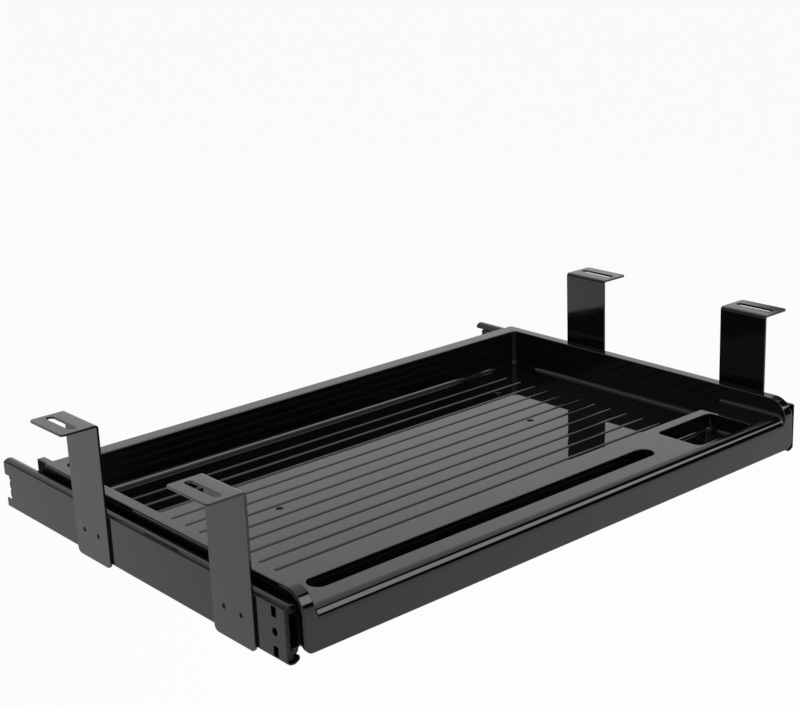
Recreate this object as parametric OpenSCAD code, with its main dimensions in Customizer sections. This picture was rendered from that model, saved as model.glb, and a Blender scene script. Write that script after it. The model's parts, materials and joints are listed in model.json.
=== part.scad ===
// Keyboard tray that hangs under a desk on two full-extension ball slides.
// X runs from the back of the tray towards the user, Y to the user's right, Z up.
// The origin lies on the underside of the desk, midway between the four bracket slots.

/* [Desk brackets] */
// Length of a bracket along the slide
bracket_l = 50; // [46:1:80]
// Height of a bracket, from the desk to its lower edge
bracket_h = 120; // [100:1:160]
// Sheet thickness of a bracket
bracket_t = 2; // [1.5:0.1:3]
// Width of the top flange, measured from the slide
flange_w = 32; // [28:1:45]
// Inside radius of the bend
bend_inner_r = 1; // [0.5:0.1:3]
// Radius of the lower corners of the upright
plate_corner_r = 5; // [1:0.5:8]
// Radius of the free corners of the flange
flange_corner_r = 3; // [1:0.5:6]
// End-to-end length of the desk slot
slot_l = 40; // [20:1:42]
// Width of the desk slot
slot_w = 6.5; // [4:0.5:8]
// Distance of the slot's middle from the slide
slot_inset = 18; // [14:0.5:22]
// Distance between the front and rear bracket, middle to middle
bracket_pitch = 193; // [120:1:240]
// Distance of the front bracket's middle from the slide's front end
front_inset = 59; // [45:1:90]
// Distance between the two screws of a bracket
bracket_screw_pitch = 21; // [14:1:30]
// Height of upright that reaches below the slide
upright_below = 1.3; // [0:0.1:6]

/* [Slides] */
// Length of a slide
slide_l = 400; // [380:5:450]
// Height of a slide
slide_h = 45; // [44:0.5:52]
// Overall thickness of a closed slide
slide_depth = 12.7; // [12.5:0.1:14]
// Distance over the outer faces of both slides
slide_span = 570; // [520:5:700]
// Sheet thickness of the rails
rail_t = 1.2; // [1:0.1:1.3]
// Depth of the outer rail's channel
outer_depth = 11; // [10.8:0.1:11.2]
// Outside radius of the outer rail's crowned flange
race_r = 7; // [6.5:0.1:7.5]
// Travel of the tray
travel = 400; // [340:5:400]
// Distance of the middle rail's front end from the slide's front end
mid_front_inset = 4.2; // [4:0.1:20]
// Distance of the inner rail's front end from the slide's front end
inner_front_inset = 2; // [1:0.5:6]
// Distance of the inner rail's rear end from the slide's rear end
inner_rear_inset = 10; // [9.5:0.5:20]
// Distance of the middle rail's web from the slide's outer face
mid_inset = 3.2; // [3.1:0.1:3.4]
// Width of the middle rail's channel
mid_depth = 7.4; // [7.2:0.1:7.8]
// Width of the inner rail's flanges
inner_depth = 6.7; // [6:0.1:6.8]
// Outside radius of the middle and inner rails' corners
rail_corner_r = 1.8; // [1.5:0.1:2]
// Depth of the notch at the rear end of the outer rail
rear_notch_l = 10; // [6:1:14]
// Distance of the front holes from the outer rail's front end
front_hole_inset = 12; // [9:0.5:20]

/* [Balls and cages] */
// Diameter of the outer balls
outer_ball_d = 4; // [3.6:0.1:4.2]
// Diameter of the inner balls
inner_ball_d = 3.2; // [3:0.1:3.4]
// Running gap between a ball and each race
ball_gap = 0.05; // [0.03:0.01:0.1]
// Number of balls in each row
ball_count = 12; // [6:1:14]
// Distance from ball to ball
ball_pitch = 14; // [12:0.5:15]
// Length of a ball cage
cage_l = 168; // [160:1:180]
// Sheet thickness of a ball cage
cage_t = 0.9; // [0.7:0.1:1]
// Distance of the cages from the slide's rear end, closed
cage_start = 110; // [104:1:112]

/* [Tray] */
// Depth of the tray, front to back
tray_l = 354; // [320:1:380]
// Distance that the tray's front stands ahead of the slides
tray_overhang = 6.5; // [5:0.5:12]
// Height of the rim above the slides
rim_above = 7.2; // [6:0.1:12]
// Overall height of the tray
tray_h = 45.5; // [44:0.5:52]
// Width of the side rims inside the slides
side_rim_w = 9.3; // [9:0.1:16]
// Width of the back rim
back_rim_w = 16; // [10:0.5:24]
// Distance that the rim reaches out over the slides
rim_lip = 1.7; // [1:0.1:3]
// Wall thickness of the skirt and the rim
skirt_t = 3; // [2.5:0.1:3.5]
// Wall thickness of the inner walls and the shelf
wall_t = 2.5; // [2:0.1:3]
// Thickness of the floor
floor_t = 3; // [2.6:0.1:4]
// Depth of the floor below the rim
well_depth = 35; // [32:0.5:37]
// Depth of the shelf below the rim
shelf_drop = 14.7; // [10:0.1:16]
// Depth of the front shelf, front to back
shelf_l = 68.5; // [64:0.5:80]
// Radius of the shelf's front edge
shelf_edge_r = 9.6; // [3:0.1:10]
// Radius of the side walls' front ends
nose_r = 18; // [12:1:24]
// Radius of the lower edges
lower_edge_r = 7; // [3:0.5:9]
// Radius of the tray's rear corners
rear_corner_r = 4; // [2:0.5:8]
// Radius between the walls and the floor
floor_fillet_r = 4; // [2:0.5:5]
// Radius of the well's upright corners
well_corner_r = 6; // [3:0.5:10]
// Length of the lug behind the left rear corner
lug_l = 14; // [8:1:20]
// Width of that lug
lug_w = 7; // [5:0.5:9]
// Height of that lug
lug_h = 24; // [12:1:30]

/* [Pen trough and cup] */
// Length of the pen trough
trough_l = 364; // [300:1:364]
// Width of the pen trough
trough_w = 18; // [14:0.5:22]
// Distance of the trough's left end from the left wall
trough_inset = 20; // [14:1:26]
// Width of the cup
cup_w = 71.5; // [50:0.5:72]
// Depth of the cup, front to back
cup_l = 47; // [40:0.5:50]
// Distance of the cup from the right wall
cup_inset = 34.5; // [30:0.5:40]
// Radius of the cup's corners
cup_corner_r = 6; // [3:0.5:10]
// Depth of trough and cup below the shelf
recess_depth = 14.7; // [10:0.5:16]
// Distance from the tray's front to the middle of trough and cup
recess_inset = 34; // [32:0.5:36]

/* [Floor grooves and holes] */
// Number of grooves across the floor
groove_count = 12; // [4:1:12]
// Distance from groove to groove
groove_pitch = 20; // [16:0.5:20.5]
// Distance of the first groove from the shelf
groove_start = 19; // [12:0.5:24]
// Length of a groove
groove_l = 444; // [300:1:470]
// Width of a groove at the floor
groove_w = 4.4; // [3:0.2:5]
// Depth of a groove
groove_depth = 1.3; // [0.8:0.1:1.7]
// Diameter of the floor holes
floor_hole_d = 6; // [3:0.5:6]
// Distance between the two middle floor holes
mid_hole_span = 292; // [200:1:320]
// Distance of the middle floor holes from the tray's front
mid_hole_inset = 200.5; // [199:0.5:202]
// Distance between the two rear floor holes
rear_hole_span = 362; // [330:1:400]
// Distance of the rear floor holes from the tray's front
rear_hole_inset = 279; // [277:0.5:281]

/* [Screws] */
// Shank diameter of the bracket screws
bracket_screw_d = 4; // [3:0.1:4]
// Head diameter of the bracket screws
bracket_head_d = 7.6; // [7:0.1:8]
// Head height of the bracket screws
bracket_head_h = 1.6; // [1.2:0.1:1.7]
// Shank diameter of the tray screws
tray_screw_d = 3.5; // [3:0.1:4]
// Head diameter of the tray screws
tray_head_d = 7.2; // [7:0.1:8]
// Head height of the tray screws
tray_head_h = 1.8; // [1.4:0.1:2.2]
// Length of the tray screws under the head
tray_screw_l = 9.2; // [7:0.1:9.2]
// Clearance of a screw in its hole, on the radius
hole_gap = 0.05; // [0.02:0.01:0.1]

/* [Release levers] */
// Diameter of the lever's pivot pin
lever_pin_d = 4; // [3:0.1:4.5]
// Running clearance of the lever on its pin, on the radius
lever_pin_gap = 0.06; // [0.03:0.01:0.1]
// Thickness of the lever
lever_t = 2.4; // [2:0.1:2.5]
// Length of the hook arm, pivot to hook
lever_hook_arm = 34; // [33:0.5:34.5]
// Length of the finger arm, pivot to tip
lever_finger_arm = 27; // [20:1:36]
// Height of the lever's arms
lever_arm_h = 4; // [3:0.5:5]
// Height of the hook and of the nib that it catches
catch_h = 5; // [4:0.5:6]

/* [Hidden] */

$fn = 48;
// Small extra length that makes a cutter pass through a face
over = 1;
left = "left";
right = "right";

// Places of the slides
slide_front_x = bracket_pitch / 2 + front_inset;
slide_rear_x = slide_front_x - slide_l;
slide_z = -bracket_h + upright_below + slide_h / 2;
slide_face_y = slide_span / 2;
bend_r = bend_inner_r + bracket_t;

// Outer rail: the flange is a crowned strip that forms the ball race
race_v = slide_h / 2 - race_r;
race_u = outer_depth / 2;
race_inner_r = race_r - rail_t;
outer_lip = 1.9;
outer_web_top = race_v + sqrt(race_r * race_r - race_u * race_u) - 0.2;

// Clearances inside the slide
cage_gap = 0.3;
cage_hole_gap = 0.1;
end_gap = 0.3;

// Heights of the races above the slide's middle
outer_ball_v = race_v + race_inner_r - ball_gap - outer_ball_d / 2;
mid_half_h = outer_ball_v - outer_ball_d / 2 - ball_gap;
inner_ball_v = mid_half_h - rail_t - ball_gap - inner_ball_d / 2;
inner_half_h = inner_ball_v - inner_ball_d / 2 - ball_gap;
inner_ball_u = mid_inset + rail_t + cage_gap + cage_t + inner_ball_d / 2 - 0.1;
mid_lip = 1.4;

// Stops at the ends of the rails
bumper_start = 5;
bumper_l = 4;
bumper_lobe = 1;
bumper_half_h = 15.5;
bumper_depth = 8;
mid_start = bumper_start + bumper_l + end_gap;
mid_end = slide_l - mid_front_inset;
mid_l = mid_end - mid_start;
inner_start = inner_rear_inset;
inner_l = slide_l - inner_front_inset - inner_rear_inset;
buffer_l = 6;
buffer_t = 1.3;
buffer_half_h = 10.5;
buffer_cap_t = 1.2;
buffer_flange_start = 14;
buffer_lobe_start = 3.5;
buffer_lobe_end = 8.4;
buffer_lobe_gap = 0.3;
nib_depth = 2.7;

// Holes near the front end of the outer rail
front_hole_s = slide_l - front_hole_inset;
front_hole_d = 6;
front_window_l = 5.5;
front_window_h = 8;
front_window_v = 15;
notch_top_v = 9;
notch_bottom_v = -12.5;

// Inner rail and the lever that sits in it
inner_web_u = slide_depth - rail_t;
lever_gap = 0.35;
lever_hook_l = 3;
lever_boss_r = 4.6;
lever_pad_h = 7;
pin_head_h = 0.8;
pin_head_r = 3.2;
hook_tip_u = mid_inset + rail_t + cage_gap + cage_t + 0.5;
// The lever's hook meets the nib when the tray is all the way out
lever_pivot_s = mid_end - buffer_l - end_gap - travel / 2 + lever_hook_arm;
// Places of the tray screws, measured from the slide's front end
tray_screw_insets = [28, 108, 255, 315];
tray_screw_s = [for (inset = tray_screw_insets) slide_l - inset];

// Section of the tray's grooves
groove_slope_share = 0.64;
groove_flat_w = 0.3;
groove_power = 2.2;
groove_parts = [0.2, 0.35, 0.5, 0.62, 0.72, 0.82, 0.91, 1];

// Tray
tray_front_x = slide_front_x + tray_overhang;
tray_back_x = tray_front_x - tray_l;
rim_z = slide_z + slide_h / 2 + rim_above;
tray_bottom_z = rim_z - tray_h;
floor_z = rim_z - well_depth;
shelf_z = rim_z - shelf_drop;
recess_z = shelf_z - recess_depth;
skirt_y = slide_face_y - slide_depth;
well_y = skirt_y - side_rim_w;
lip_y = skirt_y + rim_lip;
well_back_x = tray_back_x + back_rim_w;
shelf_back_x = tray_front_x - shelf_l;
recess_x = tray_front_x - recess_inset;
trough_left_y = -well_y + trough_inset;
cup_right_y = well_y - cup_inset;
boss_r = 4.5;

// Puts a profile drawn in Y and Z along X, from x = 0
module along_x(length) {
    rotate([90, 0, 90]) linear_extrude(length) children();
}

// Puts a profile drawn in X and Z along Y, from y = start
module along_y(start, length) {
    translate([0, start + length, 0]) rotate([90, 0, 0]) linear_extrude(length) children();
}

// Takes what is drawn on the right to the side given
module on_side(side) {
    mirror([0, side == left ? 1 : 0, 0]) children();
}

// A box between two corners
module block(low, high) {
    translate(low) cube(high - low);
}

// What is cut off to round a corner at the point given, dir pointing out of it
module corner_cut(at, dir, r) {
    translate(at)
        mirror([dir.x < 0 ? 1 : 0, 0]) mirror([0, dir.y < 0 ? 1 : 0])
            translate([-r, -r]) difference() {
                square(r + over);
                circle(r);
            }
}

// A quarter of a ring, dir pointing to its outer corner
module quarter_ring(centre, dir, r, t) {
    translate(centre)
        mirror([dir.x < 0 ? 1 : 0, 0]) mirror([0, dir.y < 0 ? 1 : 0])
            intersection() {
                difference() {
                    circle(r);
                    circle(r - t);
                }
                square(r + over);
            }
}

// A slot with round ends, long side along X
module slot_outline(length, width) {
    square([length - width, width], center = true);
    for (end = [-1, 1])
        translate([end * (length - width) / 2, 0]) circle(width / 2);
}

// A rectangle with its middle at 0 and round corners
module round_rectangle(size, r) {
    square([size.x - 2 * r, size.y], center = true);
    square([size.x, size.y - 2 * r], center = true);
    for (sx = [-1, 1], sy = [-1, 1])
        translate([sx * (size.x / 2 - r), sy * (size.y / 2 - r)]) circle(r);
}

// A place on a slide: x from its rear end, y in from its outer face, z from its middle
module on_slide(side) {
    on_side(side) translate([slide_rear_x, slide_face_y, slide_z]) mirror([0, 1, 0]) children();
}

// A pan head screw along +Y, its head's underside at y = 0
module pan_screw(head_d, head_h, shank_d, shank_l) {
    cross_w = 1.1;
    cross_l = 4;
    cross_depth = 0.8;
    rotate([-90, 0, 0]) difference() {
        union() {
            translate([0, 0, -head_h]) cylinder(d = head_d, h = head_h);
            cylinder(d = shank_d, h = shank_l);
        }
        for (turn = [0, 90])
            rotate(turn) translate([-cross_l / 2, -cross_w / 2, -head_h - over])
                cube([cross_l, cross_w, cross_depth + over]);
    }
}

module bracket(side, place) {
    mid_x = place * bracket_pitch / 2;
    color("dimgray") on_side(side) translate([mid_x, slide_face_y, 0])
        difference() {
            union() {
                // Upright
                along_y(0, bracket_t) difference() {
                    translate([-bracket_l / 2, -bracket_h]) square([bracket_l, bracket_h - bend_r]);
                    for (end = [-1, 1])
                        corner_cut([end * bracket_l / 2, -bracket_h], [end, -1], plate_corner_r);
                }
                // Bend
                translate([-bracket_l / 2, 0, 0]) along_x(bracket_l)
                    quarter_ring([bend_r, -bend_r], [-1, 1], bend_r, bracket_t);
                // Flange
                translate([0, 0, -bracket_t]) linear_extrude(bracket_t) difference() {
                    translate([-bracket_l / 2, bend_r]) square([bracket_l, flange_w - bend_r]);
                    for (end = [-1, 1])
                        corner_cut([end * bracket_l / 2, flange_w], [end, 1], flange_corner_r);
                }
            }
            // Desk slot
            translate([0, slot_inset, -bracket_t - over])
                linear_extrude(bracket_t + 2 * over) slot_outline(slot_l, slot_w);
            // Tapped holes
            for (end = [-1, 1])
                translate([end * bracket_screw_pitch / 2, -over, slide_z]) rotate([-90, 0, 0])
                    cylinder(d = bracket_screw_d + 2 * hole_gap, h = bracket_t + 2 * over);
        }
}

// Places of the bracket screws along a slide
function bracket_screw_places() = [
    for (place = [-1, 1], end = [-1, 1])
        slide_l - front_inset - bracket_pitch / 2 + place * bracket_pitch / 2
            + end * bracket_screw_pitch / 2
];

module bracket_screws(side) {
    short_of_face = 0.6;
    shank_l = rail_t + bracket_t - short_of_face;
    color("silver") on_slide(side)
        for (s = bracket_screw_places())
            translate([s, rail_t, 0]) mirror([0, 1, 0])
                pan_screw(bracket_head_d, bracket_head_h, bracket_screw_d, shank_l);
}

// One half of the outer rail's section, drawn in y and z
module outer_half_profile() {
    square([rail_t, outer_web_top]);
    intersection() {
        translate([race_u, race_v]) difference() {
            circle(race_r);
            circle(race_inner_r);
        }
        translate([0, race_v + outer_lip]) square([outer_depth, race_r]);
    }
    translate([outer_depth - rail_t, race_v + outer_lip])
        square([rail_t, outer_web_top - race_v - outer_lip]);
}

module outer_rail(side) {
    color("dimgray") on_slide(side) difference() {
        along_x(slide_l) {
            outer_half_profile();
            mirror([0, 1]) outer_half_profile();
        }
        // Notch at the rear end
        block([-over, -over, notch_bottom_v], [rear_notch_l, rail_t + over, notch_top_v]);
        // Holes near the front end
        translate([front_hole_s, -over, 0]) rotate([-90, 0, 0])
            cylinder(d = front_hole_d, h = rail_t + 2 * over);
        for (up = [-1, 1])
            along_y(-over, rail_t + 2 * over) translate([front_hole_s, up * front_window_v])
                round_rectangle([front_window_l, front_window_h], 1);
        // Clearance holes for the bracket screws
        for (s = bracket_screw_places())
            translate([s, -over, 0]) rotate([-90, 0, 0])
                cylinder(d = bracket_screw_d + 2 * hole_gap, h = rail_t + 2 * over);
    }
}

module rear_bumper(side) {
    lobe_h = 5;
    lobe_pitch = 8;
    color("black") on_slide(side) {
        block([bumper_start + bumper_lobe, rail_t, -bumper_half_h],
              [bumper_start + bumper_l - bumper_lobe, rail_t + bumper_depth, bumper_half_h]);
        for (i = [-1:1])
            block([bumper_start, rail_t, i * lobe_pitch - lobe_h / 2],
                  [bumper_start + bumper_l, rail_t + bumper_depth, i * lobe_pitch + lobe_h / 2]);
    }
}

// Places of the balls along a slide
function ball_places() = [
    for (i = [0:ball_count - 1])
        cage_start + cage_l / 2 + (i - (ball_count - 1) / 2) * ball_pitch
];

module outer_cage(side) {
    strip_w = 6;
    color("gainsboro") on_slide(side)
        for (up = [-1, 1])
            translate([0, 0, up * outer_ball_v - cage_t / 2]) linear_extrude(cage_t)
                difference() {
                    translate([cage_start, race_u - strip_w / 2]) square([cage_l, strip_w]);
                    for (s = ball_places())
                        translate([s, race_u]) circle(outer_ball_d / 2 + cage_hole_gap);
                }
}

module outer_balls(side) {
    color("lightgray") on_slide(side)
        for (up = [-1, 1], s = ball_places())
            translate([s, race_u, up * outer_ball_v]) sphere(d = outer_ball_d);
}

// A channel with its back at y = 0, with short lips or with none
module channel_profile(half_h, depth, lip) {
    r = rail_corner_r;
    // Drawn as a closed tube, then opened
    tube_depth = lip > 0 ? depth : depth + 2 * r;
    mouth_half_h = lip > 0 ? half_h - r - lip : half_h + over;
    mouth_u = lip > 0 ? depth - rail_t - over : depth;
    difference() {
        translate([tube_depth / 2, 0]) round_rectangle([tube_depth, 2 * half_h], r);
        translate([tube_depth / 2, 0])
            round_rectangle([tube_depth - 2 * rail_t, 2 * (half_h - rail_t)], r - rail_t);
        translate([mouth_u, -mouth_half_h]) square([tube_depth, 2 * mouth_half_h]);
    }
}

module middle_rail(side) {
    window_l = 24;
    window_h = 9;
    window_start = 60;
    window_pitch = 120;
    color("dimgray") on_slide(side) difference() {
        translate([mid_start, mid_inset, 0]) along_x(mid_l)
            channel_profile(mid_half_h, mid_depth, mid_lip);
        for (i = [0:2])
            along_y(mid_inset - over, rail_t + 2 * over)
                translate([mid_start + window_start + i * window_pitch, 0])
                    slot_outline(window_l, window_h);
    }
}

// Plastic cap on the middle rail's front end, with lobes that run in the outer races
// and the nib that the lever's hook catches
module front_buffer(side) {
    face_u = mid_inset + rail_t;
    cap_end = mid_end + buffer_cap_t;
    lobe_reach = buffer_lobe_end - race_u;
    lobe_top = race_v + sqrt(race_inner_r * race_inner_r - lobe_reach * lobe_reach) - buffer_lobe_gap;
    color("black") on_slide(side) {
        block([mid_end - buffer_l, face_u, -buffer_half_h],
              [cap_end, face_u + buffer_t, buffer_half_h]);
        block([mid_end - buffer_l, face_u, -catch_h / 2],
              [mid_end, face_u + nib_depth, catch_h / 2]);
        block([mid_end, mid_inset, -mid_half_h], [cap_end, face_u + buffer_t, mid_half_h]);
        for (up = [0, 1])
            mirror([0, 0, up]) {
                block([mid_end, buffer_lobe_start, buffer_flange_start],
                      [cap_end, buffer_lobe_end, lobe_top]);
                block([mid_end - buffer_l, buffer_lobe_start, mid_half_h],
                      [cap_end, buffer_lobe_end, lobe_top]);
            }
    }
}

module inner_cage(side) {
    web_u = mid_inset + rail_t + cage_gap;
    flange_end = inner_ball_u + inner_ball_d / 2 - 0.2;
    color("gainsboro") on_slide(side) difference() {
        translate([cage_start, 0, 0]) along_x(cage_l) {
            translate([web_u, -inner_ball_v - cage_t / 2]) square([cage_t, 2 * inner_ball_v + cage_t]);
            for (up = [-1, 1])
                translate([web_u, up * inner_ball_v - cage_t / 2]) square([flange_end - web_u, cage_t]);
        }
        for (up = [-1, 1], s = ball_places())
            translate([s, inner_ball_u, up * inner_ball_v - cage_t])
                cylinder(d = inner_ball_d + 2 * cage_hole_gap, h = 2 * cage_t);
    }
}

module inner_balls(side) {
    color("lightgray") on_slide(side)
        for (up = [-1, 1], s = ball_places())
            translate([s, inner_ball_u, up * inner_ball_v]) sphere(d = inner_ball_d);
}

module inner_rail(side) {
    color("dimgray") on_slide(side) difference() {
        translate([inner_start, slide_depth, 0]) mirror([0, 1, 0]) along_x(inner_l)
            channel_profile(inner_half_h, inner_depth, 0);
        for (s = tray_screw_s)
            translate([s, inner_web_u - over, 0]) rotate([-90, 0, 0])
                cylinder(d = tray_screw_d + 2 * hole_gap, h = rail_t + 2 * over);
        translate([lever_pivot_s, inner_web_u - over, 0]) rotate([-90, 0, 0])
            cylinder(d = lever_pin_d + 2 * hole_gap, h = rail_t + 2 * over);
    }
}

module tray_screws(side) {
    color("silver") on_slide(side)
        for (s = tray_screw_s)
            translate([s, inner_web_u, 0])
                pan_screw(tray_head_d, tray_head_h, tray_screw_d, tray_screw_l);
}

module release_lever(side) {
    back_u = inner_web_u - lever_gap;
    hook_x = -lever_hook_arm - lever_hook_l;
    color("black") on_slide(side) translate([lever_pivot_s, 0, 0]) {
        along_y(back_u - lever_t, lever_t) difference() {
            union() {
                circle(lever_boss_r);
                translate([hook_x, -lever_arm_h / 2])
                    square([lever_hook_arm + lever_hook_l, lever_arm_h]);
                translate([0, -lever_arm_h / 2]) square([lever_finger_arm, lever_arm_h]);
                translate([lever_finger_arm - lever_pad_h / 2, 0]) circle(lever_pad_h / 2);
            }
            circle(lever_pin_d / 2 + lever_pin_gap);
        }
        block([hook_x, hook_tip_u, -catch_h / 2], [-lever_hook_arm, back_u, catch_h / 2]);
    }
}

module lever_pin(side) {
    lever_face_u = inner_web_u - lever_gap - lever_t;
    head_u = lever_face_u - lever_gap - pin_head_h;
    color("silver") on_slide(side) translate([lever_pivot_s, 0, 0]) rotate([-90, 0, 0]) {
        translate([0, 0, head_u]) cylinder(r = pin_head_r, h = pin_head_h);
        translate([0, 0, head_u]) cylinder(d = lever_pin_d, h = slide_depth - head_u);
    }
}

// The tray seen from the side: a block whose upper front corner is the nose
module side_outline(inset) {
    difference() {
        translate([tray_back_x + inset, tray_bottom_z])
            square([tray_l - 2 * inset, tray_h - inset]);
        corner_cut([tray_front_x - inset, rim_z - inset], [1, 1], nose_r - inset);
    }
}

// The tray seen from the front
module front_outline(half_w) {
    difference() {
        translate([-half_w, tray_bottom_z]) square([2 * half_w, tray_h]);
        for (end = [-1, 1])
            corner_cut([end * half_w, tray_bottom_z], [end, -1], lower_edge_r);
    }
}

// The tray seen from above
module plan_outline() {
    difference() {
        translate([tray_back_x, -skirt_y]) square([tray_l, 2 * skirt_y]);
        for (end = [-1, 1])
            corner_cut([tray_back_x, end * skirt_y], [-1, end], rear_corner_r);
    }
}

// A recess of the given plan, from z = floor upwards
module well_space() {
    mid_x = (well_back_x + shelf_back_x) / 2;
    length = shelf_back_x - well_back_x;
    tall = well_depth + floor_fillet_r + over;
    intersection() {
        translate([mid_x, 0, floor_z]) linear_extrude(tall)
            round_rectangle([length, 2 * well_y], well_corner_r);
        along_y(-well_y - over, 2 * well_y + 2 * over) difference() {
            translate([well_back_x, floor_z]) square([length, tall]);
            corner_cut([well_back_x, floor_z], [-1, -1], floor_fillet_r);
            corner_cut([shelf_back_x, floor_z], [1, -1], floor_fillet_r);
        }
        translate([well_back_x - over, 0, 0]) along_x(length + 2 * over) difference() {
            translate([-well_y, floor_z]) square([2 * well_y, tall]);
            for (end = [-1, 1])
                corner_cut([end * well_y, floor_z], [end, -1], floor_fillet_r);
        }
    }
}

// The space above the shelf, between the side walls and open to the front
module shelf_space() {
    start_x = shelf_back_x - well_corner_r - over;
    translate([start_x, 0, 0]) along_x(tray_front_x + over - start_x) difference() {
        translate([-well_y, shelf_z]) square([2 * well_y, shelf_drop + over]);
        for (end = [-1, 1])
            corner_cut([end * well_y, shelf_z], [end, -1], floor_fillet_r);
    }
    along_y(-well_y, 2 * well_y) corner_cut([tray_front_x, shelf_z], [1, 1], shelf_edge_r);
}

// Plan of the pen trough, grown by a wall
module trough_plan(wall) {
    translate([recess_x, trough_left_y + trough_l / 2]) rotate(90)
        slot_outline(trough_l + 2 * wall, trough_w + 2 * wall);
}

// Plan of the cup, grown by a wall
module cup_plan(wall) {
    translate([recess_x, cup_right_y - cup_w / 2])
        round_rectangle([cup_l + 2 * wall, cup_w + 2 * wall], cup_corner_r + wall);
}

// Hollows that are open underneath
module underside_space() {
    low = tray_bottom_z - over;
    side_y = skirt_y - skirt_t;
    wall_y = well_y + wall_t;
    // Under the floor
    block([tray_back_x + skirt_t, -side_y, low],
          [shelf_back_x + wall_t, side_y, floor_z - floor_t]);
    // Under the shelf, around the trough and the cup
    difference() {
        block([shelf_back_x + wall_t - over, -side_y, low],
              [tray_front_x - skirt_t, side_y, shelf_z - wall_t]);
        translate([0, 0, recess_z - wall_t]) linear_extrude(tray_h) {
            trough_plan(wall_t);
            cup_plan(wall_t);
        }
        block([shelf_back_x - over, -side_y, floor_z - floor_t],
              [shelf_back_x + wall_t, side_y, shelf_z]);
        // The hollow follows the shelf's rounded front edge
        along_y(-side_y - over, 2 * side_y + 2 * over)
            corner_cut([tray_front_x - skirt_t, shelf_z - wall_t], [1, 1],
                       max(shelf_edge_r - wall_t, 0.5));
    }
    // Between the skirt and the inner walls
    for (side = [left, right])
        on_side(side) difference() {
            along_y(wall_y, side_y - wall_y) intersection() {
                side_outline(skirt_t);
                translate([tray_back_x, low])
                    square([tray_l, rim_z - skirt_t - low]);
            }
            screw_bosses();
        }
    block([tray_back_x + skirt_t, -side_y, low], [well_back_x - wall_t, side_y, rim_z - skirt_t]);
}

// Solid posts that the tray screws bite into, on the right side
module screw_bosses() {
    for (s = tray_screw_s)
        translate([slide_rear_x + s, skirt_y, slide_z]) rotate([90, 0, 0])
            cylinder(r = boss_r, h = side_rim_w);
}

module tray_screw_holes() {
    depth = tray_screw_l - rail_t + 0.3;
    for (side = [left, right], s = tray_screw_s)
        on_side(side)
            translate([slide_rear_x + s, skirt_y + over, slide_z]) rotate([90, 0, 0])
                cylinder(d = tray_screw_d + 2 * hole_gap, h = depth + over);
}

// Section of a groove: a soft slope from the back, and a steeper front side
module groove_outline() {
    slope_w = groove_slope_share * groove_w;
    flat_end = slope_w + groove_flat_w;
    beyond = over * (groove_w - flat_end) / groove_depth;
    slope = [for (part = groove_parts) [part * slope_w, -groove_depth * pow(part, groove_power)]];
    polygon(concat([[-0.3, over], [-0.3, 0.01]], slope,
                   [[flat_end, -groove_depth], [groove_w + beyond, over]]));
}

// Grooves and holes in the floor
module floor_cuts() {
    for (i = [0:groove_count - 1])
        translate([shelf_back_x - groove_start - i * groove_pitch - groove_w / 2, groove_l / 2, floor_z])
            rotate([90, 0, 0]) linear_extrude(groove_l) groove_outline();
    for (end = [-1, 1]) {
        translate([tray_front_x - mid_hole_inset, end * mid_hole_span / 2, floor_z - floor_t - over])
            cylinder(d = floor_hole_d, h = floor_t + 2 * over);
        translate([tray_front_x - rear_hole_inset, end * rear_hole_span / 2, floor_z - floor_t - over])
            cylinder(d = floor_hole_d, h = floor_t + 2 * over);
    }
}

// The rim's overhang past the skirt, and the edges of the front
module rim_overhang() {
    intersection() {
        for (side = [left, right])
            on_side(side) along_y(skirt_y - over, rim_lip + over) difference() {
                side_outline(0);
                translate([-over, 0]) side_outline(skirt_t);
                translate([tray_back_x - over, tray_bottom_z - over])
                    square([tray_l - skirt_t + over, tray_h - nose_r + over]);
                translate([tray_back_x - over, rim_z - nose_r - over])
                    square([skirt_t + 2 * over, nose_r - skirt_t + over]);
            }
        translate([tray_back_x - over, 0, 0]) along_x(tray_l + 2 * over) front_outline(lip_y);
    }
}

module tray() {
    color("#1b1b1d") difference() {
        union() {
            intersection() {
                along_y(-skirt_y, 2 * skirt_y) side_outline(0);
                translate([tray_back_x - over, 0, 0]) along_x(tray_l + 2 * over) front_outline(skirt_y);
                translate([0, 0, tray_bottom_z - over]) linear_extrude(tray_h + 2 * over) plan_outline();
            }
            rim_overhang();
            // Lug behind the left rear corner
            block([tray_back_x - lug_l, -skirt_y, rim_z - lug_h],
                  [tray_back_x + rear_corner_r + over, -skirt_y + lug_w, rim_z]);
        }
        well_space();
        shelf_space();
        underside_space();
        translate([0, 0, recess_z]) linear_extrude(recess_depth + over) {
            trough_plan(0);
            cup_plan(0);
        }
        floor_cuts();
        tray_screw_holes();
    }
}

bracket(left, 1);  // bracket_front_left
bracket(right, 1);  // bracket_front_right
bracket(left, -1);  // bracket_rear_left
bracket(right, -1);  // bracket_rear_right
bracket_screws(left);  // bracket_screws_left
bracket_screws(right);  // bracket_screws_right
outer_rail(left);  // outer_rail_left
outer_rail(right);  // outer_rail_right
rear_bumper(left);  // rear_bumper_left
rear_bumper(right);  // rear_bumper_right
outer_cage(left);  // outer_cage_left
outer_cage(right);  // outer_cage_right
outer_balls(left);  // outer_balls_left
outer_balls(right);  // outer_balls_right
middle_rail(left);  // middle_rail_left
middle_rail(right);  // middle_rail_right
front_buffer(left);  // front_buffer_left
front_buffer(right);  // front_buffer_right
inner_cage(left);  // inner_cage_left
inner_cage(right);  // inner_cage_right
inner_balls(left);  // inner_balls_left
inner_balls(right);  // inner_balls_right
inner_rail(left);  // inner_rail_left
inner_rail(right);  // inner_rail_right
tray();
tray_screws(left);  // tray_screws_left
tray_screws(right);  // tray_screws_right
release_lever(left);  // release_lever_left
release_lever(right);  // release_lever_right
lever_pin(left);  // lever_pin_left
lever_pin(right);  // lever_pin_right
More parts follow.
